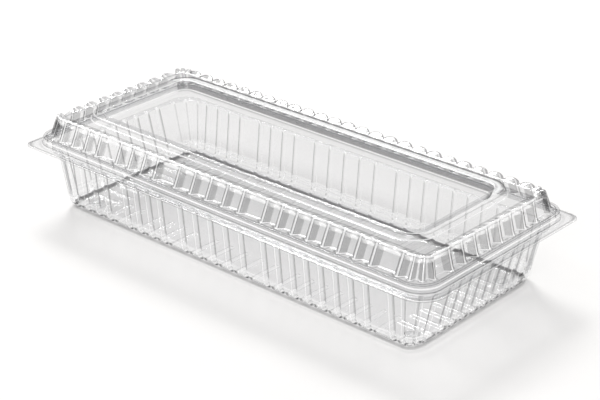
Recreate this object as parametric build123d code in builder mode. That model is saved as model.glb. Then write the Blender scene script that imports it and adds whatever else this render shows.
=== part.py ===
from build123d import *
from math import cos, radians, sin
import os

# Clear thermoformed food container: a fluted tub and a fluted lid, formed from one sheet and
# joined along a crease at the back edge of their flanges. X runs along the container, Y from
# the front to the crease, Z up. The origin is under the middle of the floor. All in millimetres.

# Whole container
length = 280.0
width = 125.0
height = 54.0
sheet = 0.5

# Rim, where the two flanges lie on each other
rim_z = 35.6
flange_width = 3.6
flange_corner = 14.0
tab_corner = 5.0

# Ring of the lid, which stands on its flange in two small steps
ring_rise = 5.4
ring_step_rise = 2.0
ring_step_width = 0.5
ring_draft = 0.3
ring_corner = 12.5

# Fluted wall of the lid
foot_inset = 7.0
foot_corner = 12.0
lid_side_slope = 5.4
lid_end_slope = 3.0
plateau_drop = 3.3
lid_rib_depth = 2.8
lid_rib_crest = 1.7
lid_rib_flank = 2.5
lobe_rise = 1.4
lobe_length = 4.6
lobe_tip_depth = 0.4
lobe_tip_crest = 0.9

# Raised frame on the lid, and the window sunk inside it
frame_end_inset = 24.4
frame_side_inset = 24.0
frame_width = 5.0
frame_corner = 12.0
frame_flank = 1.5
window_drop = 5.0
window_flank = 1.6

# Bead of the tub, which fills the ring of the lid
bead_clearance = 0.35
bead_top_gap = 0.35
bead_width = 2.2
bead_draft = 0.4

# Fluted wall of the tub
seat_drop = 3.6
seat_width = 0.8
tub_end_slope = 6.2
tub_side_slope = 2.4
tub_corner = 15.5
groove_depth = 1.8
groove_bottom = 1.2
groove_flank = 0.9

# Rounded foot of the tub, where the grooves run out
foot_height = 8.2
foot_reach = 6.6
foot_facets = 4
floor_groove_depth = 0.8

# Spread of the ribs: groups of (number, share of the pitch), with wide panels between them
front_groups = ((4, 0.95), (4, 0.95), (5, 1.14), (8, 1.0), (1, 1.0))
back_groups = ((25, 1.0),)
end_groups = ((8, 1.0),)
panel_share = 1.6
long_margin = 0.4
end_margin = 1.0
corner_ribs = 3
corner_turn = 3.4
flat_limit = 0.0001

half_length = length / 2
half_width = width / 2
plateau_z = height - plateau_drop
seat_z = rim_z - seat_drop
ledge_z = rim_z + ring_rise
bead_inset = flange_width + ring_step_width + ring_draft + sheet + bead_clearance
bead_top_z = ledge_z - sheet - bead_top_gap
tub_top_inset = bead_inset + bead_draft + bead_width


def stations(groups, straight, margin):
    """Middles of the ribs along one straight side, measured from the middle of that side."""
    steps = [margin]
    for number, share in groups:
        steps += [share] * (number - 1) + [panel_share]
    steps[-1] = margin
    pitch = straight / sum(steps)
    middles = []
    place = -straight / 2
    for step in steps[:-1]:
        place += step * pitch
        middles.append(place)
    return middles


def rib_plan(centre, back):
    """Middles of the ribs of one fluted wall on its sides, and on a corner in degrees."""
    front = stations(front_groups, 2 * centre[0], long_margin)
    ends = stations(end_groups, 2 * centre[1], end_margin)
    return {
        "front": front,
        "right": ends,
        "back": [-middle for middle in reversed(stations(back, 2 * centre[0], long_margin))],
        "left": ends,
        "corner": [90 * (number + 0.5) / corner_ribs for number in range(corner_ribs)],
    }


def fluted_ring(plan, centre, crest, valley):
    """Corners of a closed polygon round the container, four to a rib or groove. Its crest and
    the valley beside it are each given as (x, y, z, half width): how far out they lie, their
    height, and how far from the middle they start. A groove has its crest inside."""
    cx, cy = centre
    points = []
    sides = (
        ("front", 0, -1, (cx, -cy), -90),
        ("right", 1, 0, (cx, cy), 0),
        ("back", 0, 1, (-cx, cy), 90),
        ("left", -1, 0, (-cx, -cy), 180),
    )
    rib = ((valley, -1), (crest, -1), (crest, 1), (valley, 1))
    for name, nx, ny, (corner_x, corner_y), start in sides:
        for middle in plan[name]:
            for (x, y, z, half), way in rib:
                out = x if nx else y
                along = middle + way * half
                points.append(Vector(nx * out - ny * along, ny * out + nx * along, z))
        for middle in plan["corner"]:
            for (x, y, z, half), way in rib:
                turn = radians(start + middle + way * half * corner_turn)
                points.append(
                    Vector(corner_x + (x - cx) * cos(turn), corner_y + (y - cy) * sin(turn), z)
                )
    return points


def flat_face(*corners):
    """Flat face on a closed polygon."""
    return Face(Wire.make_polygon(corners, close=True))


def fluted_solid(rings):
    """Solid through stacked fluted rings. Four corners that lie in one plane make one facet,
    and others, as on the rounded corners of the container, make two triangles."""
    faces = [flat_face(*rings[0]), flat_face(*rings[-1])]
    for low, high in zip(rings, rings[1:]):
        for here in range(len(low)):
            a, b, c, d = low[here - 1], low[here], high[here], high[here - 1]
            if abs((b - a).cross(d - a).normalized().dot(c - a)) < flat_limit:
                faces.append(flat_face(a, b, c, d))
            else:
                faces += [flat_face(a, b, c), flat_face(a, c, d)]
    return Solid(Shell(faces))


def drafted_block(low, high):
    """Block between two rounded rectangles, each given as (x, y, corner, z)."""
    with BuildPart() as block:
        for x, y, corner, z in (low, high):
            with BuildSketch(Plane.XY.offset(z)):
                RectangleRounded(2 * x, 2 * y, corner)
        loft(ruled=True)
    return block.part


def flange_plate(low_z):
    """Flange as a plate one sheet thick, with one round corner and three small ones."""
    with BuildPart() as plate:
        with BuildSketch(Plane.XY.offset(low_z)) as outline:
            Rectangle(length, width)
            near_corner = outline.vertices().sort_by(Axis((0, 0, 0), (1, -1, 0)))[-1]
            fillet(near_corner, flange_corner)
            sharp = outline.vertices().filter_by(
                lambda corner: abs(corner.X) > half_length - 0.1 and abs(corner.Y) > half_width - 0.1
            )
            fillet(sharp, tab_corner)
        extrude(amount=sheet)
    return plate.part


def lid_form(skin):
    """Solid under one skin of the lid: skin 0 is its outside and skin = sheet its inside."""
    step_inset = flange_width + skin
    ring_inset = flange_width + ring_step_width + skin
    step_top = rim_z + ring_step_rise - skin
    ring_top = ledge_z - skin
    foot_x = half_length - foot_inset
    foot_y = half_width - foot_inset
    centre = (foot_x - foot_corner, foot_y - foot_corner)
    plan = rib_plan(centre, back_groups)
    crest_half = lid_rib_crest / 2
    valley_half = crest_half + lid_rib_flank
    crest_rise = plateau_z + lobe_rise - ledge_z
    valley_share = (plateau_z - ledge_z) / crest_rise
    side_depth = lid_rib_depth - lid_side_slope * (1 - valley_share)
    tip_share = (lobe_length - lobe_tip_depth - side_depth) / (lobe_length - side_depth)
    tip_half = lobe_tip_crest / 2
    tip_valley_half = valley_half - (valley_half - tip_half) * tip_share
    levels = (
        (0, 0, ledge_z, crest_half),
        (lid_rib_depth, lid_rib_depth, ledge_z, valley_half),
        (lid_end_slope, lid_side_slope, plateau_z + lobe_rise, crest_half),
        (
            lid_end_slope * valley_share + lid_rib_depth,
            lid_side_slope * valley_share + lid_rib_depth,
            plateau_z,
            valley_half,
        ),
        (lid_end_slope + lobe_length, lid_side_slope + lobe_length, plateau_z, tip_half),
        (
            lid_end_slope + lobe_length - lobe_tip_depth,
            lid_side_slope + lobe_length - lobe_tip_depth,
            plateau_z,
            tip_valley_half,
        ),
    )
    edges = [
        (foot_x - end_in - skin, foot_y - side_in - skin, z - skin, half)
        for end_in, side_in, z, half in levels
    ]
    foot, shoulder, tip = (
        fluted_ring(plan, centre, crest, valley)
        for crest, valley in zip(edges[::2], edges[1::2])
    )
    frame_x = half_length - frame_end_inset
    frame_y = half_width - frame_side_inset
    with BuildPart() as form:
        add(
            drafted_block(
                (half_length - step_inset, half_width - step_inset, ring_corner - skin, rim_z),
                (half_length - step_inset, half_width - step_inset, ring_corner - skin, step_top),
            )
        )
        add(
            drafted_block(
                (half_length - ring_inset, half_width - ring_inset, ring_corner - skin, rim_z),
                (
                    half_length - ring_inset - ring_draft,
                    half_width - ring_inset - ring_draft,
                    ring_corner - ring_draft - skin,
                    ring_top,
                ),
            )
        )
        add(fluted_solid((foot, shoulder, tip)))
        add(
            drafted_block(
                (
                    frame_x + frame_flank - skin,
                    frame_y + frame_flank - skin,
                    frame_corner + frame_flank - skin,
                    plateau_z - skin,
                ),
                (frame_x - skin, frame_y - skin, frame_corner - skin, height - skin),
            )
        )
        window_x = frame_x - frame_width + skin
        window_y = frame_y - frame_width + skin
        window_corner = frame_corner - frame_width + skin
        add(
            drafted_block(
                (
                    window_x - window_flank,
                    window_y - window_flank,
                    window_corner,
                    height - window_drop - skin,
                ),
                (window_x, window_y, window_corner, height - skin),
            ),
            mode=Mode.SUBTRACT,
        )
    return form.part


def tub_form(skin):
    """Solid under one skin of the tub: skin 0 is its outside and skin = sheet its inside."""
    seat_x = half_length - tub_top_inset - seat_width
    seat_y = half_width - tub_top_inset - seat_width
    centre = (seat_x - tub_corner, seat_y - tub_corner)
    plan = rib_plan(centre, front_groups)
    groove_half = groove_bottom / 2
    panel_half = groove_half + groove_flank
    levels = []
    for facet in range(foot_facets, -1, -1):
        share = facet / foot_facets
        inset = foot_reach * (1 - cos(radians(90 * share)))
        z = foot_height * (1 - sin(radians(90 * share)))
        depth = groove_depth + (floor_groove_depth - groove_depth) * share
        levels.append((tub_end_slope, tub_side_slope, inset, z, depth))
    levels.append((0, 0, 0, seat_z, groove_depth))
    rings = []
    for end_in, side_in, inset, z, depth in levels:
        x = seat_x - end_in - inset - skin
        y = seat_y - side_in - inset - skin
        groove = (x - depth, y - depth, z + skin, groove_half)
        panel = (x, y, z + skin, panel_half)
        rings.append(fluted_ring(plan, centre, groove, panel))
    band = (half_length - tub_top_inset - skin, half_width - tub_top_inset - skin)
    band_corner = tub_corner + seat_width - skin
    with BuildPart() as form:
        add(fluted_solid(rings))
        add(drafted_block((*band, band_corner, seat_z + skin), (*band, band_corner, bead_top_z)))
    return form.part


def bead_form(skin):
    """Outside of the bead round the tub, or its hollow underside when skin = sheet."""
    inset = bead_inset + skin
    return drafted_block(
        (half_length - inset, half_width - inset, ring_corner - skin, rim_z - sheet),
        (
            half_length - inset - bead_draft,
            half_width - inset - bead_draft,
            ring_corner - bead_draft - skin,
            bead_top_z - skin,
        ),
    )


with BuildPart() as base:
    add(flange_plate(rim_z - sheet))
    add(bead_form(0))
    add(bead_form(sheet), mode=Mode.SUBTRACT)
    add(tub_form(0))
    add(tub_form(sheet), mode=Mode.SUBTRACT)
base.part.label = "base"

with BuildPart() as lid:
    add(flange_plate(rim_z))
    add(lid_form(0))
    add(lid_form(sheet), mode=Mode.SUBTRACT)
lid.part.label = "lid"

os.makedirs("parts", exist_ok=True)
export_step(base.part, "parts/base.step")
export_step(lid.part, "parts/lid.step")
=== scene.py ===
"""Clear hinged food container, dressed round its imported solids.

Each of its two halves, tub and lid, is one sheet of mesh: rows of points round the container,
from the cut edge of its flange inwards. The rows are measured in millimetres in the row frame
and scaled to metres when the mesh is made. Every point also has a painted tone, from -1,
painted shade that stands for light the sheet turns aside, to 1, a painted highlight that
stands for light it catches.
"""

from collections import namedtuple
from math import cos, pi, radians, sin

import bmesh
import bpy
import numpy as np
from mathutils import Matrix, Vector


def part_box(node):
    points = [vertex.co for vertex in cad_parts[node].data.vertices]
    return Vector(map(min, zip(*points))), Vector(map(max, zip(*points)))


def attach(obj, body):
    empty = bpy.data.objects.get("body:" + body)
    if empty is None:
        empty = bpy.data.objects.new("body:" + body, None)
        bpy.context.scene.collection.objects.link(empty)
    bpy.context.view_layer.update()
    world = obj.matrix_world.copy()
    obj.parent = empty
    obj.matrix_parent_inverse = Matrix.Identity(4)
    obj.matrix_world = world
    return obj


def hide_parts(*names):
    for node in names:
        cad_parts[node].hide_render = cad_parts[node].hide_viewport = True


bl_info = {
    "name": "Clear Food Container",
    "version": (1, 0, 0),
    "blender": (4, 5, 0),
    "location": "View3D > Sidebar > Container",
    "description": "Formed sheets, clear plastic and studio of a hinged food container",
    "category": "Add Mesh",
}

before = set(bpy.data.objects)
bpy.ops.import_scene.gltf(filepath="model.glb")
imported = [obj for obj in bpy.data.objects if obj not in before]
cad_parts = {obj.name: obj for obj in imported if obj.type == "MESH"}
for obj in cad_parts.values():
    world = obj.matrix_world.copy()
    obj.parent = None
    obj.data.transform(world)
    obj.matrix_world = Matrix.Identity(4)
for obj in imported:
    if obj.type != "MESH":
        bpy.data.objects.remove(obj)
MM = 0.001
LID_LOW, LID_HIGH = (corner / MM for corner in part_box("lid"))
HALF_LENGTH = LID_HIGH.x
HALF_WIDTH = LID_HIGH.y
RIM_Z = LID_LOW.z
TOP_Z = LID_HIGH.z
BEAD_Z = (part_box("base")[1] / MM).z


class SheetSizes(bpy.types.PropertyGroup):
    """Sizes of the formed sheet."""

    sheet: bpy.props.FloatProperty(
        name="Sheet",
        description="Thickness of the sheet at the cut edge of the flanges, in millimetres",
        default=0.5,
        min=0.1,
        max=2.0,
    )
    flange: bpy.props.FloatProperty(
        name="Flange",
        description="Width of the flat flange outside the ring, in millimetres",
        default=3.6,
        min=1.0,
        max=20.0,
    )
    rib_depth: bpy.props.FloatProperty(
        name="Lid rib depth",
        description="How far the ribs of the lid stand out of its wall, in millimetres",
        default=2.8,
        min=0.5,
        max=6.0,
    )
    groove_depth: bpy.props.FloatProperty(
        name="Tub groove depth",
        description="How far the grooves of the tub lie behind its wall, in millimetres",
        default=1.8,
        min=0.3,
        max=6.0,
    )


class SheetTones(bpy.types.PropertyGroup):
    """How dark or bright the parts of the sheet look: the sheet's own veil, and the strength of the
    painted shade and painted highlights on its ribs, grooves and foot.
    """

    veil: bpy.props.FloatProperty(
        name="Veil",
        description="How much the flat sheet itself darkens what lies behind it",
        subtype="FACTOR",
        default=0.06,
        min=0.0,
        max=1.0,
    )
    # Painted shade on the flanks of the lid's ribs
    flank: bpy.props.FloatProperty(
        name="Rib flanks",
        description="How dark the flanks of the lid's ribs look",
        subtype="FACTOR",
        default=0.42,
        min=0.0,
        max=1.0,
    )
    # Painted shade: dark lines along the edges of the lid's ribs
    outline: bpy.props.FloatProperty(
        name="Rib outlines",
        description="How dark the edges of the lid's ribs look",
        subtype="FACTOR",
        default=0.75,
        min=0.0,
        max=1.0,
    )
    # Painted shade in the bottoms of the tub's grooves
    groove: bpy.props.FloatProperty(
        name="Groove bottoms",
        description="How dark the bottoms of the tub's grooves look",
        subtype="FACTOR",
        default=0.34,
        min=0.0,
        max=1.0,
    )
    # Painted highlights along the edges of the tub's grooves
    edge: bpy.props.FloatProperty(
        name="Groove edges",
        description="How bright the edges of the tub's grooves look",
        subtype="FACTOR",
        default=0.6,
        min=0.0,
        max=1.0,
    )
    # Painted highlights higher up the foot, and a dark line of painted shade low on it, where it
    # meets the floor
    foot: bpy.props.FloatVectorProperty(
        name="Foot",
        description="Tones of the tub's rounded foot, row by row from its wall to its floor",
        size=12,
        default=(0.5, 0.1, 0.5, 0.1, 0, 0.8, 0.2, -1.0, -1.0, -0.3, 0, 0),
        min=-1.0,
        max=1.0,
    )


class SheetLook(bpy.types.PropertyGroup):
    """Colours and finish of the clear sheet, with the colours of its painted shade and painted
    highlights.
    """

    tint: bpy.props.FloatVectorProperty(
        name="Tint",
        description="Light that passes straight through the sheet",
        subtype="COLOR",
        size=3,
        default=(0.968, 0.969, 0.972),
        min=0.0,
        max=1.0,
    )
    # Painted shade: the dark tint mixed in where the painted tone is below 0, and at a slanting
    # view
    painted_shade_tint: bpy.props.FloatVectorProperty(
        name="Dark tint",
        description="Light that passes through the sheet where a bend turns it aside",
        subtype="COLOR",
        size=3,
        default=(0.20, 0.20, 0.205),
        min=0.0,
        max=1.0,
    )
    # Painted highlight: colour of the bright bends, which also glows faintly
    glint: bpy.props.FloatVectorProperty(
        name="Glint",
        description="Colour of the bends that catch the light",
        subtype="COLOR",
        size=3,
        default=(1.0, 1.0, 1.0),
        min=0.0,
        max=1.0,
    )
    slant_dark: bpy.props.FloatProperty(
        name="Slant",
        description="How much a slanting view darkens the sheet",
        subtype="FACTOR",
        default=0.72,
        min=0.0,
        max=1.0,
    )
    roughness: bpy.props.FloatProperty(
        name="Roughness",
        description="Roughness of the sheet's gloss",
        subtype="FACTOR",
        default=0.08,
        min=0.0,
        max=1.0,
    )


class StudioLook(bpy.types.PropertyGroup):
    """Floor, light and camera of the studio."""

    floor_colour: bpy.props.FloatVectorProperty(
        name="Floor",
        description="Colour of the plain floor",
        subtype="COLOR",
        size=3,
        default=(0.93, 0.92, 0.91),
        min=0.0,
        max=1.0,
    )
    surround: bpy.props.FloatProperty(
        name="Surround",
        description="Strength of the even white light from all round",
        default=0.59,
        min=0.0,
    )
    azimuth: bpy.props.FloatProperty(
        name="Azimuth",
        description="Turn of the camera round the container",
        subtype="ANGLE",
        default=radians(41.951),
    )
    elevation: bpy.props.FloatProperty(
        name="Elevation",
        description="Height of the camera above the horizon",
        subtype="ANGLE",
        default=radians(25.352),
    )
    roll: bpy.props.FloatProperty(
        name="Roll",
        description="Turn of the camera about its own line of sight",
        subtype="ANGLE",
        default=radians(0.231),
    )
    distance: bpy.props.FloatProperty(
        name="Distance",
        description="From the camera to the point that it looks at",
        subtype="DISTANCE",
        default=0.903455,
        min=0.1,
    )
    focal_pixels: bpy.props.FloatProperty(
        name="Focal length",
        description="Focal length in pixels of a picture 600 pixels wide",
        default=1723.6,
        min=100.0,
    )


# Layout of the ribs. A group is (number of ribs, share of the common pitch between them), and
# a wide plain panel lies between two groups.

FRONT_GROUPS = ((4, 0.95), (4, 0.95), (5, 1.14), (8, 1.0), (1, 1.0))
LID_BACK_GROUPS = ((25, 1.0),)
END_GROUPS = ((8, 1.0),)
PANEL_SHARE = 1.6
LONG_MARGIN = 0.4
END_MARGIN = 1.0
CORNER_RIBS = 3
RIGHT_ANGLE = 90.0
DEGREES_PER_MM = 3.4
PLAIN_STEP = 3.5
END_TOLERANCE = 1e-6

# Signs of x and y at the near right, far right, far left and near left corner, and the numbers
# of the sides that make up the back with its two corners
CORNERS = ((1, -1), (1, 1), (-1, 1), (-1, -1))
BACK_SIDES = (3, 4, 5)

# Plan of a rib or groove: width of its crest and of each flank, points across a flank as
# (share of its width, share of the rib's depth, painted tone), and the painted tone of the crest
RibPlan = namedtuple("RibPlan", "crest flank curve crest_tone")


def stations(groups, straight, margin):
    """Middles of the ribs along one straight side, measured from its middle."""
    steps = [margin]
    for number, share in groups:
        steps += [share] * (number - 1) + [PANEL_SHARE]
    steps[-1] = margin
    return (np.cumsum(steps)[:-1] / sum(steps) - 0.5) * straight


class Columns:
    """Columns of the mesh round the container. Their even sides are the front, the right end,
    the back and the left end, and the odd ones the corners that follow these. A column has its
    side, its place there, from -1 to 1 along a straight side and from 0 to 1 round a corner,
    the share of a rib that it carries, its tone, and the height of an arch as wide as the
    pitch of the ribs."""

    def __init__(self, centre, back_groups, plan):
        self.centre = centre
        self.plan = plan
        cx, cy = centre
        front = stations(FRONT_GROUPS, 2 * cx, LONG_MARGIN)
        ends = stations(END_GROUPS, 2 * cy, END_MARGIN)
        back = -stations(back_groups, 2 * cx, LONG_MARGIN)[::-1]
        corner = RIGHT_ANGLE * (np.arange(CORNER_RIBS) + 0.5) / CORNER_RIBS
        sides = ((front, cx), (ends, cy), (back, cx), (ends, cy))
        columns = []
        for number, (middles, half) in enumerate(sides):
            for at, *own in self.marks(middles, -half, half, 1.0):
                columns.append((2 * number, at / half, *own))
            for at, *own in self.marks(corner, 0.0, RIGHT_ANGLE, DEGREES_PER_MM):
                columns.append((2 * number + 1, at / RIGHT_ANGLE, *own))
        self.side, self.place, self.rib, self.tone, self.arch = np.array(columns).T
        self.back = np.isin(self.side, BACK_SIDES).astype(float)

    def marks(self, middles, low, high, unit):
        """(place, share of a rib, tone, height of the arch) of the columns from low to high
        along one side or corner. The unit is a millimetre's length there, because places
        round a corner are in degrees."""
        half = self.plan.crest / 2
        reach = (half + self.plan.flank) * unit
        marks = [(low, 0.0, 0.0)]
        last = low
        for middle in middles:
            gap = middle - reach - last
            pieces = max(int(gap / (PLAIN_STEP * unit)) + 1, 2)
            marks += [(last + gap * step / pieces, 0.0, 0.0) for step in range(1, pieces)]
            flank = [
                ((half + self.plan.flank * (1 - share)) * unit, amount, tone)
                for share, amount, tone in self.plan.curve
            ]
            marks += [(middle - away, amount, tone) for away, amount, tone in flank]
            marks.append((middle, 1.0, self.plan.crest_tone))
            marks += [(middle + away, amount, tone) for away, amount, tone in reversed(flank)]
            last = middle + reach
        half_pitch = np.diff(middles).min() / 2
        columns = []
        for at, amount, tone in marks:
            if low <= at < high - END_TOLERANCE:
                away = abs(middles - at).min() / half_pitch
                columns.append((at, amount, tone, max(1 - away ** 2, 0) ** 0.5))
        return columns

    def ring(self, x, y, z, radii=None):
        """Points of one row: out to x and y, with corners about the columns' own centre, or of
        the given radii in the order of CORNERS."""
        cx, cy = self.centre
        if radii is None:
            reach = [(x - cx, y - cy)] * len(CORNERS)
        else:
            reach = [(radius, radius) for radius in radii]
        x, y = (np.broadcast_to(value, self.place.shape) for value in (x, y))
        share = (self.place + 1) / 2
        points = np.zeros((len(self.place), 3))
        for number, signs in enumerate(CORNERS):
            middles = [
                (way_x * (x - rx), way_y * (y - ry))
                for (way_x, way_y), (rx, ry) in (
                    (CORNERS[number - 1], reach[number - 1]),
                    (signs, reach[number]),
                )
            ]
            along = [first + (last - first) * share for first, last in zip(*middles)]
            side = self.side == 2 * number
            if number % 2:
                points[side, 0] = (signs[0] * x)[side]
                points[side, 1] = along[1][side]
            else:
                points[side, 0] = along[0][side]
                points[side, 1] = (signs[1] * y)[side]
            corner = self.side == 2 * number + 1
            angle = np.radians(RIGHT_ANGLE * (number - 1 + self.place))
            points[corner, 0] = (middles[1][0] + reach[number][0] * np.cos(angle))[corner]
            points[corner, 1] = (middles[1][1] + reach[number][1] * np.sin(angle))[corner]
        points[:, 2] = z
        return points


# Profiles

MOST_OF_STRETCH = 0.48
TONE_SWELL = 1.5
QUARTERS = (0.25, 0.5, 0.75)


def rounded(corners, steps=3):
    """A profile with its inner corners eased. A corner is (reach of its bend, tone, *place),
    and a row is (tone, *place). A tone swells and fades over its bend."""
    rows = [np.array((0.0, *corners[0][2:]), float)]
    for (_, _, *before), (reach, tone, *corner), (_, _, *after) in zip(
        corners, corners[1:], corners[2:]
    ):
        before, corner, after = (np.array(place, float) for place in (before, corner, after))
        inward = before - corner
        outward = after - corner
        near = min(reach, MOST_OF_STRETCH * np.linalg.norm(inward))
        far = min(reach, MOST_OF_STRETCH * np.linalg.norm(outward))
        start = corner + inward / np.linalg.norm(inward) * near
        end = corner + outward / np.linalg.norm(outward) * far
        for t in np.arange(steps + 1) / steps:
            eased = (1 - t) ** 2 * start + 2 * t * (1 - t) * corner + t ** 2 * end
            rows.append(np.array((tone * min(TONE_SWELL * sin(pi * t), 1), *eased)))
    rows.append(np.array((0.0, *corners[-1][2:]), float))
    return rows


def refined(rows, longest, value):
    """The rows, with every stretch cut in four in which the given value of a row changes by
    more than the longest."""
    spread = []
    for before, after in zip(rows, rows[1:]):
        spread.append(before)
        if abs(after[value] - before[value]) > longest:
            spread += [before + (after - before) * share for share in QUARTERS]
    return spread + [rows[-1]]


def held(value, low=0.0, high=1.0):
    """The value held between low and high."""
    return min(max(value, low), high)


# Sheets

FLANGE_RADII = (14.0, 5.0, 5.0, 5.0)
RING_RADIUS = 12.5
OWN_CORNER_BAND = 0.5
MERGE_DISTANCE = 1e-6


class Sheet:
    """Rows of a formed sheet, and the tone of each point, lowered all over by its veil."""

    def __init__(self, columns, veil):
        self.columns = columns
        self.veil = veil
        self.rows = []
        self.tones = []

    def add(self, x, y, z, radii=None, tone=0.0, ribbed=0.0):
        """A row with its own tone, over the given share of the tones of the columns."""
        ribs = np.clip(self.columns.tone * ribbed, -1, 1)
        self.rows.append(self.columns.ring(x, y, z, radii))
        self.tones.append(ribs * (1 - abs(tone)) + tone - self.veil)

    def add_rim(self, rows, ring_inset, tightening):
        """Plain rows (tone, inset, height). Their corners change from the flange's own to the
        ring's, which then tighten inwards by no more than the given amount."""
        for tone, inset, z in rows:
            share = held((inset - OWN_CORNER_BAND) / (ring_inset - OWN_CORNER_BAND))
            ring = RING_RADIUS - held(inset - ring_inset, high=tightening)
            radii = [radius + (ring - radius) * share for radius in FLANGE_RADII]
            self.add(HALF_LENGTH - inset, HALF_WIDTH - inset, z, radii, tone)

    def closed_wall(self):
        """The rows and tones as one closed grid."""
        return self.rows, self.tones, True

    def closed_panel(self):
        """The same, ended by the line along the middle that closes the panel."""
        last = self.rows[-1]
        end = last[:, 0].max() - last[:, 1].max()
        spine = np.stack([np.clip(last[:, 0], -end, end), 0 * last[:, 1], last[:, 2]], 1)
        return [*self.rows, spine], [*self.tones, np.zeros(len(last))], True


def sheet_mesh(name, grids):
    """Mesh of grids of points in millimetres, each with a tone for every point and whether
    its rows are closed."""
    points, tones, faces = [], [], []
    count = 0
    for rows, shades, closed in grids:
        across = len(rows[0])
        here = np.arange(across if closed else across - 1)
        after = (here + 1) % across
        for number in range(len(rows) - 1):
            low = count + number * across
            high = low + across
            faces += np.stack([here + low, after + low, after + high, here + high], 1).tolist()
        points.append(np.concatenate(rows))
        tones.append(np.concatenate(shades))
        count += len(rows) * across
    mesh = bpy.data.meshes.new(name)
    mesh.from_pydata((np.concatenate(points) * MM).tolist(), [], faces)
    mesh.polygons.foreach_set("use_smooth", [True] * len(faces))
    attribute = mesh.attributes.new("tone", "FLOAT", "POINT")
    attribute.data.foreach_set("value", np.concatenate(tones).astype(np.float32))
    work = bmesh.new()
    work.from_mesh(mesh)
    bmesh.ops.remove_doubles(work, verts=work.verts, dist=MERGE_DISTANCE)
    work.to_mesh(mesh)
    work.free()
    return mesh


def place_sheet(name, grids, look, part):
    """Makes a finished sheet of the grids, gives it its material, and lets it ride on the body
    of the given name and stand for the solid of that name."""
    mesh = sheet_mesh(name, grids)
    mesh.materials.append(bpy.data.materials.get(SHEET_MATERIAL) or clear_sheet(look))
    piece = bpy.data.objects.new(name, mesh)
    bpy.context.scene.collection.objects.link(piece)
    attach(piece, part)
    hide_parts(part)


# Lid: insets from the edge of its flange, slopes of its wall at the ends and along the sides,
# and heights

STEP_Z = RIM_Z + 2.0
SECOND_STEP_Z = STEP_Z + 1.7
LEDGE_Z = RIM_Z + 5.4
PLATEAU_Z = TOP_Z - 3.3
WINDOW_Z = TOP_Z - 5.0
LID_FOOT_INSET = 7.0
LID_FOOT_CORNER = 12.0
LID_END_SLOPE = 3.0
LID_SIDE_SLOPE = 5.4
SHOULDER = 0.8
LOBE_RISE = 1.6
LOBE_LENGTH = 4.6
LOBE_END_DEPTH = 0.3
RIB_TAPER = 0.6
FRAME_END = 24.4
FRAME_SIDE = 24.0
FRAME_WIDTH = 5.0
FRAME_CORNER = 12.0
RIM_TIGHTENING = 1.0

# How fast the ribs' painted tones come in with their depth, and what the back's lobes lose of
# the painted highlights along the shoulder and above it, which turn to painted shade there, and
# of their ribs' painted tones
RIB_TONE_GAIN = 1.4
BACK_LOBE_DARKENING = 1.5
BACK_RIB_FADING = 0.7


def lid_sheet(sizes, tones):
    """The lid from the cut edge of its flange to the edge of its window."""
    # Painted tones across a rib: painted shade on its flanks, a darker painted outline at the edges
    # of its crest, and a painted highlight along its crest
    plan = RibPlan(
        crest=1.7,
        flank=2.5,
        curve=(
            (0.0, 0.0, 0.0),
            (0.14, 0.05, -tones.flank),
            (0.5, 0.5, -tones.flank),
            (0.86, 0.95, -tones.flank),
            (1.0, 1.0, -tones.outline),
        ),
        crest_tone=1.0,
    )
    inset = LID_FOOT_INSET + LID_FOOT_CORNER
    columns = Columns((HALF_LENGTH - inset, HALF_WIDTH - inset), LID_BACK_GROUPS, plan)
    made = Sheet(columns, tones.veil)
    add_lid_rim(made, sizes)
    add_lid_wall(made, sizes)
    add_lid_top(made)
    return made


def add_lid_rim(made, sizes):
    """Flange, the ring's two steps, and the ledge on them."""
    flange = sizes.flange
    flange_z = RIM_Z + sizes.sheet
    # Painted tone, inset, height
    cut_edge = (
        (-0.6, 0.05, RIM_Z + 0.02),
        (0.6, 0.0, RIM_Z + 0.1),
        (0.6, 0.0, flange_z - 0.1),
    )
    # Reach, painted tone, inset, height
    corners = (
        (None, 0, 0.12, flange_z),
        (0.4, -0.35, 0.9, flange_z),
        (0.7, 0.25, 2.2, flange_z),
        (0.3, 0.2, flange, flange_z),
        (0.4, 0.75, flange, flange_z + 0.6),
        (0.3, -0.7, flange, STEP_Z),
        (0.2, 0.0, flange + 0.5, STEP_Z),
        (0.6, 0.8, flange + 0.6, SECOND_STEP_Z),
        (0.4, -0.6, flange + 0.8, LEDGE_Z),
        (0.4, -0.1, flange + 1.5, LEDGE_Z),
        (0.4, -0.6, flange + 2.2, LEDGE_Z),
        (None, 0, LID_FOOT_INSET - 0.8, LEDGE_Z),
    )
    made.add_rim((*cut_edge, *rounded(corners)), flange, RIM_TIGHTENING)


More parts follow.
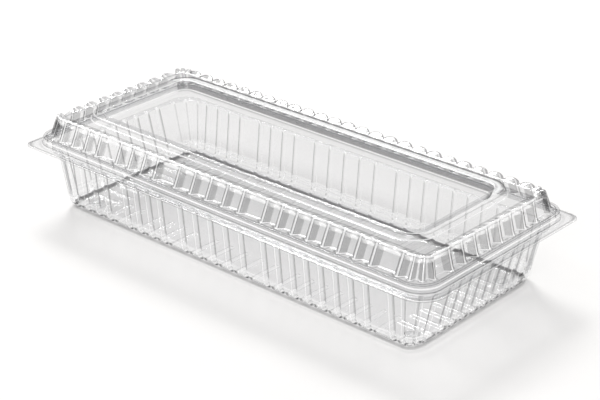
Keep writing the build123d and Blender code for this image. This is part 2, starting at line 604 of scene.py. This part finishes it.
def add_lid_wall(made, sizes):
    """Ribbed wall, and the lobes in which its ribs end on the plateau."""
    columns = made.columns
    depth = sizes.rib_depth

    def corner(reach, tone, climb, inward, lift, end_depth, side_depth, valleys_only=0):
        """A corner of the profile at a share of the climb to the plateau, and its crests'
        lift over the valleys. A tone of valleys only is left out on the ribs."""
        z = LEDGE_Z + (PLATEAU_Z - LEDGE_Z) * climb
        end_inset = LID_FOOT_INSET + LID_END_SLOPE * climb + inward
        side_inset = LID_FOOT_INSET + LID_SIDE_SLOPE * climb + inward
        return (
            reach,
            tone,
            end_inset,
            side_inset,
            z + lift,
            end_depth,
            side_depth,
            z,
            valleys_only,
        )

    # A painted highlight along the foot of the wall, painted highlights along the shoulder, in the
    # valleys only, and at the top of the wall, and painted shade at the ends of the lobes
    corners = (
        corner(None, 0, 0, -1.2, 0, 0, 0),
        corner(0.7, 0.9, 0, 0, 0, depth, depth),
        corner(1.8, 1.0, SHOULDER, 0, LOBE_RISE * SHOULDER, depth, depth - RIB_TAPER * SHOULDER, 1),
        corner(1.9, 1.0, 1, 0, LOBE_RISE, depth, depth - RIB_TAPER),
        corner(1.4, -0.3, 1, LOBE_LENGTH, 0, LOBE_END_DEPTH, LOBE_END_DEPTH),
        corner(None, 0, 1, LOBE_LENGTH + 2, 0, 0, 0),
    )
    shoulder_z = LEDGE_Z + (PLATEAU_Z - LEDGE_Z) * SHOULDER
    for row in refined(rounded(corners, steps=6), longest=3, value=3):
        tone, end_inset, side_inset, crest_z, end_depth, side_depth, valley_z, valleys_only = row
        top = held((valley_z - shoulder_z) / (PLATEAU_Z - shoulder_z))
        rib = columns.rib + (columns.arch - columns.rib) * top
        tone = tone * (1 - valleys_only * columns.rib ** 0.5)
        # On the back, the painted highlights above the shoulder turn to painted shade
        tone = tone * (1 - BACK_LOBE_DARKENING * (top > 0) * columns.back)
        ribbed = min(side_depth / depth * RIB_TONE_GAIN, 1)
        made.add(
            HALF_LENGTH - end_inset - end_depth * (1 - rib),
            HALF_WIDTH - side_inset - side_depth * (1 - rib),
            valley_z + (crest_z - valley_z) * rib,
            tone=tone,
            ribbed=ribbed * (1 - BACK_RIB_FADING * top * columns.back),
        )


def add_lid_top(made):
    """Raised frame on the plateau, and the edge of the window inside it."""
    inner_corner = FRAME_CORNER - FRAME_WIDTH
    # Reach, painted tone, way in from the frame's outer edge, height, corner radius, and the
    # painted tone that the back has besides. The tones paint highlights and shade along the
    # frame's bends, and the back gets its own painted shade and painted highlights.
    profile = (
        (None, 0, -4.5, PLATEAU_Z, FRAME_CORNER + 4.5, 0),
        (0.8, 0.9, -1.5, PLATEAU_Z, FRAME_CORNER + 1.5, 0),
        (0.5, -0.3, -0.5, TOP_Z - 1.0, FRAME_CORNER + 0.5, 0),
        (0.6, 0.9, 0, TOP_Z, FRAME_CORNER, -1),
        (0.3, -0.25, 2.6, TOP_Z, FRAME_CORNER - 2.6, 1.1),
        (0.8, 1.0, FRAME_WIDTH, TOP_Z, inner_corner, 0),
        (0.5, 0.2, FRAME_WIDTH + 0.4, TOP_Z - 1.4, inner_corner - 0.3, -0.5),
        (0.6, 0.8, FRAME_WIDTH + 1.6, WINDOW_Z, inner_corner - 1, -0.6),
        (None, 0, FRAME_WIDTH + 4, WINDOW_Z, inner_corner - 2, 0),
    )
    corners = [
        (reach, tone, FRAME_END + inward, FRAME_SIDE + inward, *place)
        for reach, tone, inward, *place in profile
    ]
    for tone, end_inset, side_inset, z, radius, back_tone in rounded(corners):
        made.add(
            HALF_LENGTH - end_inset,
            HALF_WIDTH - side_inset,
            z,
            radii=[radius] * len(CORNERS),
            tone=np.clip(tone + back_tone * made.columns.back, -1, 1),
        )


# Tub: insets from the edge of its flange, slopes of its wall at the ends and along the sides,
# heights, and the grooves that run out on its floor

FLANGE_GAP = 0.04
BEAD_INSET = 5.25
BEAD_SLOPE = 0.4
BEAD_WIDTH = 2.2
BEAD_END = BEAD_INSET + BEAD_SLOPE + BEAD_WIDTH
BEAD_TIGHTENING = 2.0
SEAT_Z = RIM_Z - 3.6
SEAT_INSET = BEAD_END + 0.8
TUB_CORNER = 15.5
TUB_END_SLOPE = 6.2
TUB_SIDE_SLOPE = 2.4
FOOT_HEIGHT = 8.2
FOOT_REACH = 6.6
FLOOR_GROOVE = 1.0
FLOOR_GROOVE_LENGTH = 17.5

# What the seat's painted highlight loses on a groove, how much painted shade darkens the
# back's plain wall, and what the back's grooves lose of their painted tones
SEAT_BREAK = 0.8
BACK_PAINTED_SHADE = 0.11
BACK_GROOVE_FADING = 0.5


def tub_sheet(sizes, tones):
    """The tub from the cut edge of its flange to the edge of its floor."""
    # Painted tones across a groove: a painted highlight along each edge, painted shade in its
    # bottom
    plan = RibPlan(
        crest=0.9,
        flank=1.4,
        curve=(
            (0.0, 0.0, 0.0),
            (0.16, 0.03, tones.edge),
            (0.34, 0.2, 0.0),
            (0.78, 0.88, 0.0),
            (1.0, 1.0, -tones.groove),
        ),
        crest_tone=-tones.groove,
    )
    inset = SEAT_INSET + TUB_CORNER
    columns = Columns((HALF_LENGTH - inset, HALF_WIDTH - inset), FRONT_GROUPS, plan)
    made = Sheet(columns, tones.veil)
    add_tub_rim(made, sizes)
    add_tub_wall(made, sizes)
    add_tub_foot(made, sizes, tones)
    return made


def add_tub_rim(made, sizes):
    """Flange, raised bead and the drop behind it."""
    flange_z = RIM_Z - FLANGE_GAP
    under_z = RIM_Z - sizes.sheet
    # Painted tone, inset, height
    cut_edge = (
        (-0.4, 0.14, under_z),
        (0.5, 0.0, under_z + 0.12),
        (-0.8, 0.0, RIM_Z - 0.1),
    )
    # Reach, painted tone, inset, height
    corners = (
        (None, 0, 0.1, flange_z),
        (0.4, -0.2, BEAD_INSET, flange_z),
        (0.6, 0.3, BEAD_INSET + BEAD_SLOPE, BEAD_Z),
        (0.6, 0.3, BEAD_END, BEAD_Z),
        (0.4, -0.3, BEAD_END, SEAT_Z),
        (None, 0, BEAD_END + 0.3, SEAT_Z),
    )
    made.add_rim((*cut_edge, *rounded(corners)), BEAD_INSET, BEAD_TIGHTENING)


def add_tub_wall(made, sizes):
    """Seat and grooved wall, down to the foot."""
    columns = made.columns
    depth = sizes.groove_depth
    end_foot = SEAT_INSET + TUB_END_SLOPE
    side_foot = SEAT_INSET + TUB_SIDE_SLOPE
    # Reach, painted tone, inset at the ends and along the sides, height, depth of the grooves
    corners = (
        (None, 0, SEAT_INSET - 0.5, SEAT_INSET - 0.5, SEAT_Z, 0.0),
        (1.7, 1.0, SEAT_INSET, SEAT_INSET, SEAT_Z, depth),
        (None, 0, end_foot, side_foot, FOOT_HEIGHT, depth),
    )
    for row in refined(rounded(corners), longest=8, value=3):
        tone, end_inset, side_inset, z, deep = row
        groove = columns.rib * deep
        # The seat's painted highlight breaks at the grooves, and the back's plain wall takes
        # painted shade
        made.add(
            HALF_LENGTH - end_inset - groove,
            HALF_WIDTH - side_inset - groove,
            z,
            tone=tone * (1 - SEAT_BREAK * columns.rib) - BACK_PAINTED_SHADE * (tone == 0) * columns.back,
            ribbed=deep / depth * (1 - BACK_GROOVE_FADING * columns.back),
        )


def add_tub_foot(made, sizes, tones):
    """Rounded foot from the wall to the floor, a quarter of an ellipse."""
    columns = made.columns
    depth = sizes.groove_depth
    turns = len(tones.foot)
    # Each row takes its painted tone from the foot's list: painted highlights higher up, and a dark
    # line of painted shade low on the foot, where it meets the floor
    for step, tone in enumerate(tones.foot, 1):
        angle = 0.5 * pi * step / turns
        inset = SEAT_INSET + FOOT_REACH * (1 - cos(angle))
        groove = columns.rib * (depth + (FLOOR_GROOVE - depth) * step / turns)
        made.add(
            HALF_LENGTH - TUB_END_SLOPE - inset - groove * cos(angle),
            HALF_WIDTH - TUB_SIDE_SLOPE - inset - groove * cos(angle),
            FOOT_HEIGHT * (1 - sin(angle)) + groove * sin(angle),
            tone=tone,
            ribbed=1.0,
        )


# Floor of the tub. A groove runs out from a little before its end to a little past it, and its
# end and edges carry painted highlights: the grooves' painted shade turns to painted highlight
# there, and their painted highlights grow.

RUN_OUT_START = 1.6
RUN_OUT_LENGTH = 1.8
RUN_OUT_STEPS = (-1.6, -0.8, -0.2, 0.4)
DARK_TO_BRIGHT = -0.5
BRIGHT_GAIN = 1.3
END_GLINT = 0.9


class FloorLines:
    """Lines of the floor's grid along one direction, and the grooves that come in over it
    from the given side and the one opposite."""

    def __init__(self, columns, side, half, edge):
        here = columns.side == side
        tone = columns.tone[here]
        self.half = half
        self.edge = edge
        self.inner = edge - FLOOR_GROOVE_LENGTH
        self.at = columns.place[here] * half
        self.rib = columns.rib[here]
        self.tone = np.where(tone < 0, DARK_TO_BRIGHT * tone, BRIGHT_GAIN * tone)
        ends = [way * (self.inner + step) for way in (-1, 1) for step in RUN_OUT_STEPS]
        self.lines = np.unique(np.round([-edge, *self.at, half, edge, *ends], 3))

    def grooves(self, place):
        """Share of a groove at each place."""
        return np.interp(place, self.at, self.rib)

    def tones(self, place):
        """Tone of the grooves at each place."""
        return np.interp(place, self.at, self.tone)

    def reach(self, place):
        """What is left at each place of the grooves that run this way, from 1 to 0."""
        return np.clip((abs(place) - self.inner + RUN_OUT_START) / RUN_OUT_LENGTH, 0, 1)

    def past(self, place):
        """How far each place lies past the start of the corner, as a share of the corner."""
        return np.maximum(abs(place) - self.half, 0) / (self.edge - self.half)

    def pulled(self, place, share):
        """The places, with those past the start of the corner moved to the given share."""
        straight = np.minimum(abs(place), self.half)
        return np.sign(place) * (straight + share * (self.edge - self.half))


def tub_floor(made):
    """Floor of the tub as a grid inside the last row of its sheet, with the grooves of the
    walls running out on it."""
    border = made.rows[-1]
    cx, cy = made.columns.centre
    length = FloorLines(made.columns, 0, cx, border[:, 0].max())
    width = FloorLines(made.columns, 2, cy, border[:, 1].max())
    x, y = np.meshgrid(length.lines, width.lines)
    reach_x, reach_y = length.reach(x), width.reach(y)
    from_front = length.grooves(x) * reach_y ** 0.5
    from_end = width.grooves(y) * reach_x ** 0.5
    tone_front = length.tones(x) * reach_y
    tone_end = width.tones(y) * reach_x
    tone = np.where(abs(tone_front) > abs(tone_end), tone_front, tone_end)
    # Painted highlights at the ends of the grooves
    end_front = 4 * reach_y * (1 - reach_y) * from_front
    end_end = 4 * reach_x * (1 - reach_x) * from_end
    tone = np.clip(tone + END_GLINT * (end_front + end_end), -1, 1)
    z = FLOOR_GROOVE * np.maximum(from_front, from_end)
    past_x, past_y = length.past(x), width.past(y)
    pull = np.maximum(np.hypot(past_x, past_y), 1)
    x = length.pulled(x, past_x / pull)
    y = width.pulled(y, past_y / pull)
    return list(np.stack([x, y, z], 2)), list(tone), False


DIMPLE_RADIUS = 3.9
DIMPLE_RISE = 0.8
DIMPLE_FROM_END = 6.6
DIMPLE_FROM_SIDE = 8.6
DIMPLE_POINTS = 36

# Share of the dimple's radius, share of its rise, painted tone: a painted highlight low on its
# side, painted shade at the edge of its top
DIMPLE_ROWS = (
    (1.08, 0.05, 0.0),
    (1.04, 0.25, 0.9),
    (1.0, 0.7, 0.5),
    (0.94, 1.0, -0.5),
    (0.85, 1.0, 0.0),
    (0.0, 1.0, 0.1),
)


def floor_dimples(made):
    """Round dimples raised in the four corners of the floor."""
    middle_x = made.rows[-1][:, 0].max() - DIMPLE_FROM_END
    middle_y = made.rows[-1][:, 1].max() - DIMPLE_FROM_SIDE
    turn = np.linspace(0, 2 * pi, DIMPLE_POINTS + 1)[:-1]
    grids = []
    for way_x in (-1, 1):
        for way_y in (-1, 1):
            rows, tones = [], []
            for share, height, tone in DIMPLE_ROWS:
                x = way_x * middle_x + DIMPLE_RADIUS * share * np.cos(turn)
                y = way_y * middle_y + DIMPLE_RADIUS * share * np.sin(turn)
                rows.append(np.stack([x, y, np.full(len(turn), DIMPLE_RISE * height)], 1))
                tones.append(np.full(len(turn), tone))
            grids.append((rows, tones, True))
    return grids


# Materials

SHEET_MATERIAL = "clear_formed_sheet"
WAVES_PER_METRE = 95.0
WAVE_HEIGHT = 0.0012
SLANT_POWER = 5.0
# The glint is the painted highlight layer, and its glow is a faint emission, though it is no lamp.
# The mirror shares set the gloss: flat, at a slant, and raised on the painted highlights.
GLINT_SHARE = 0.75
GLINT_GLOW = 0.3
MIRROR_FLAT = 0.045
MIRROR_SLANT = 0.3
MIRROR_GLINT = 0.35


class Term:
    """A shader socket that Python's operators turn into Math nodes."""

    def __init__(self, shader, socket):
        self.shader = shader
        self.socket = socket

    def join(self, operation, other, flipped=False):
        values = (other, self) if flipped else (self, other)
        return self.shader.node("ShaderNodeMath", {"operation": operation}, dict(enumerate(values)))

    def __add__(self, other):
        return self.join("ADD", other)

    def __radd__(self, other):
        return self.join("ADD", other, True)

    def __sub__(self, other):
        return self.join("SUBTRACT", other)

    def __rsub__(self, other):
        return self.join("SUBTRACT", other, True)

    def __mul__(self, other):
        return self.join("MULTIPLY", other)

    def __rmul__(self, other):
        return self.join("MULTIPLY", other, True)

    def __pow__(self, other):
        return self.join("POWER", other)

    def __rpow__(self, other):
        return self.join("POWER", other, True)

    def limited(self):
        """The value held between 0 and 1."""
        return self.shader.node("ShaderNodeClamp", {}, {"Value": self})


class Shader:
    """A material's node tree, built from terms."""

    def __init__(self, name):
        self.material = bpy.data.materials.new(name)
        self.material.use_nodes = True
        self.tree = self.material.node_tree
        self.tree.nodes.clear()

    def node(self, kind, settings, values, output=0):
        """Adds a node: its settings first, then its values and links. Returns one output."""
        made = self.tree.nodes.new(kind)
        for name, value in settings.items():
            setattr(made, name, value)
        for name, value in values.items():
            if isinstance(value, Term):
                self.tree.links.new(value.socket, made.inputs[name])
            else:
                made.inputs[name].default_value = value
        return Term(self, made.outputs[output]) if made.outputs else None

    def mixed(self, factor, first, second):
        """A Mix Shader from the first shader to the second."""
        return self.node("ShaderNodeMixShader", {}, {0: factor, 1: first, 2: second})

    def surface(self, term):
        """Ends the tree in its surface."""
        self.node("ShaderNodeOutputMaterial", {}, {"Surface": term})
        return self.material


def clear_sheet(look):
    """Clear formed sheet. Light passes straight through it. Where the painted tone is below 0,
    where a bend or the flank of a rib stands for light turned aside, a dark tint is mixed in as
    painted shade, and where it is above 0, on bends that stand for light caught, a white, faintly
    glowing layer is mixed in as painted highlight. A gloss lies over it, broken up by a faint
    waviness of the formed film."""
    shader = Shader(SHEET_MATERIAL)
    place = shader.node("ShaderNodeTexCoord", {}, {}, "Object")
    waves = shader.node(
        "ShaderNodeTexNoise",
        {},
        {"Vector": place, "Scale": WAVES_PER_METRE, "Detail": 2.0},
        "Fac",
    )
    bump = shader.node(
        "ShaderNodeBump",
        {},
        {"Height": waves, "Strength": 0.1, "Distance": WAVE_HEIGHT},
    )
    tone = shader.node("ShaderNodeAttribute", {"attribute_name": "tone"}, {}, "Fac")
    facing = shader.node("ShaderNodeLayerWeight", {}, {"Blend": 0.5, "Normal": bump}, "Facing")
    slant = facing ** SLANT_POWER
    # Painted shade where the tone is below 0, and darkening at a slanting view
    dark = (slant * look.slant_dark - tone).limited()
    # Painted highlight where the tone is above 0, broken by the waves
    bright = tone.limited() * (0.8 + waves * 0.3)
    clear = shader.node("ShaderNodeBsdfTransparent", {}, {"Color": (*look.tint, 1)})
    shade = shader.node("ShaderNodeBsdfTransparent", {}, {"Color": (*look.painted_shade_tint, 1)})
    # Painted highlight: a white layer with a faint emission, glowing though it is no lamp
    glint = shader.node(
        "ShaderNodeBsdfPrincipled",
        {},
        {
            "Base Color": (*look.glint, 1),
            "Roughness": 0.3,
            "Emission Color": (*look.glint, 1),
            "Emission Strength": GLINT_GLOW,
        },
    )
    gloss = shader.node(
        "ShaderNodeBsdfPrincipled",
        {},
        {
            "Base Color": (1, 1, 1, 1),
            "Metallic": 1.0,
            "Roughness": look.roughness,
            "Normal": bump,
        },
    )
    film = shader.mixed(dark, clear, shade)
    film = shader.mixed((bright * GLINT_SHARE).limited(), film, glint)
    mirror = (slant * MIRROR_SLANT + bright * MIRROR_GLINT + MIRROR_FLAT).limited()
    return shader.surface(shader.mixed(mirror, film, gloss))


def floor_paint(look):
    """Plain matt floor."""
    shader = Shader("studio_floor")
    return shader.surface(
        shader.node(
            "ShaderNodeBsdfPrincipled",
            {},
            {"Base Color": (*look.floor_colour, 1), "Roughness": 0.85},
        )
    )


# Studio, in metres. A lamp is (name, place, size, watts).

FLOOR_REACH = 6.0
FLOOR_Z = -0.0001
LAMPS = (
    ("key_box", (-2.3, 1.9, 2.75), 1.1, 96.0),
    ("front_box", (0.8, -1.8, 0.7), 1.0, 10.0),
    ("left_strip", (-1.6, -0.6, 1.4), 0.35, 3.0),
    ("right_strip", (0.7, 1.9, 1.3), 0.35, 3.0),
)
CAMERA_TARGET = (0.007559, 0.0, 0.025964)
PICTURE_WIDTH = 600
SENSOR_WIDTH = 36.0
CLEAR_LAYERS = 48


# Operators

class CONTAINER_OT_tub(bpy.types.Operator):
    """Form the tub's sheet and let it stand for the tub's solid"""

    bl_idname = "container.tub"
    bl_label = "Form the Tub"

    def execute(self, context):
        scene = context.scene
        made = tub_sheet(scene.container_sizes, scene.container_tones)
        grids = [made.closed_wall(), tub_floor(made), *floor_dimples(made)]
        place_sheet("tub_sheet", grids, scene.container_look, "base")
        return {"FINISHED"}


class CONTAINER_OT_lid(bpy.types.Operator):
    """Form the lid's sheet and let it stand for the lid's solid"""

    bl_idname = "container.lid"
    bl_label = "Form the Lid"

    def execute(self, context):
        scene = context.scene
        made = lid_sheet(scene.container_sizes, scene.container_tones)
        place_sheet("lid_sheet", [made.closed_panel()], scene.container_look, "lid")
        return {"FINISHED"}


class CONTAINER_OT_studio(bpy.types.Operator):
    """Add the floor, the soft lights and the camera"""

    bl_idname = "container.studio"
    bl_label = "Set Up the Studio"

    def execute(self, context):
        scene = context.scene
        look = scene.container_studio
        self.add_floor(scene, look)
        self.add_lamps(scene)
        self.add_surround(scene, look)
        self.add_camera(scene, look)
        scene.cycles.transparent_max_bounces = CLEAR_LAYERS
        scene.view_settings.view_transform = "Standard"
        return {"FINISHED"}

    def add_floor(self, scene, look):
        mesh = bpy.data.meshes.new("studio_floor")
        points = [(x * FLOOR_REACH, y * FLOOR_REACH, FLOOR_Z) for x, y in CORNERS]
        mesh.from_pydata(points, [], [(0, 1, 2, 3)])
        mesh.materials.append(floor_paint(look))
        ground = bpy.data.objects.new("studio_floor", mesh)
        scene.collection.objects.link(ground)

    def add_lamps(self, scene):
        for name, spot, size, watts in LAMPS:
            lamp = bpy.data.lights.new(name, "AREA")
            lamp.shape = "SQUARE"
            lamp.size = size
            lamp.energy = watts
            holder = bpy.data.objects.new(name, lamp)
            scene.collection.objects.link(holder)
            holder.location = spot
            holder.rotation_euler = (-Vector(spot)).to_track_quat("-Z", "Y").to_euler()

    def add_surround(self, scene, look):
        world = bpy.data.worlds.new("studio_world")
        world.use_nodes = True
        background = world.node_tree.nodes["Background"]
        background.inputs["Color"].default_value = (1.0, 1.0, 1.0, 1)
        background.inputs["Strength"].default_value = look.surround
        scene.world = world

    def add_camera(self, scene, look):
        lens = bpy.data.cameras.new("photo_camera")
        lens.sensor_width = SENSOR_WIDTH
        lens.lens = look.focal_pixels * SENSOR_WIDTH / PICTURE_WIDTH
        camera = bpy.data.objects.new("photo_camera", lens)
        scene.collection.objects.link(camera)
        back = Vector(
            (
                sin(look.azimuth) * cos(look.elevation),
                -cos(look.azimuth) * cos(look.elevation),
                sin(look.elevation),
            )
        )
        camera.location = Vector(CAMERA_TARGET) + back * look.distance
        turn = (-back).to_track_quat("-Z", "Y").to_matrix()
        camera.rotation_euler = (turn @ Matrix.Rotation(-look.roll, 3, "Z")).to_euler()
        scene.camera = camera


class CONTAINER_PT_panel(bpy.types.Panel):
    """Panel of the container in the sidebar"""

    bl_label = "Clear Food Container"
    bl_idname = "CONTAINER_PT_panel"
    bl_space_type = "VIEW_3D"
    bl_region_type = "UI"
    bl_category = "Container"

    def draw(self, context):
        layout = self.layout
        for name in GROUPS:
            group = getattr(context.scene, name)
            for value in group.__annotations__:
                layout.prop(group, value)
        for operator in OPERATORS:
            layout.operator(operator.bl_idname)


GROUPS = {
    "container_sizes": SheetSizes,
    "container_tones": SheetTones,
    "container_look": SheetLook,
    "container_studio": StudioLook,
}
OPERATORS = (CONTAINER_OT_tub, CONTAINER_OT_lid, CONTAINER_OT_studio)
CLASSES = (*GROUPS.values(), *OPERATORS, CONTAINER_PT_panel)


def register():
    for cls in CLASSES:
        bpy.utils.register_class(cls)
    for name, group in GROUPS.items():
        setattr(bpy.types.Scene, name, bpy.props.PointerProperty(type=group))


def unregister():
    for name in GROUPS:
        delattr(bpy.types.Scene, name)
    for cls in reversed(CLASSES):
        bpy.utils.unregister_class(cls)


def main():
    """Builds everything in order."""
    register()
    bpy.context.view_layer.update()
    bpy.ops.container.tub()
    bpy.ops.container.lid()
    bpy.ops.container.studio()


if __name__ == "__main__":
    main()
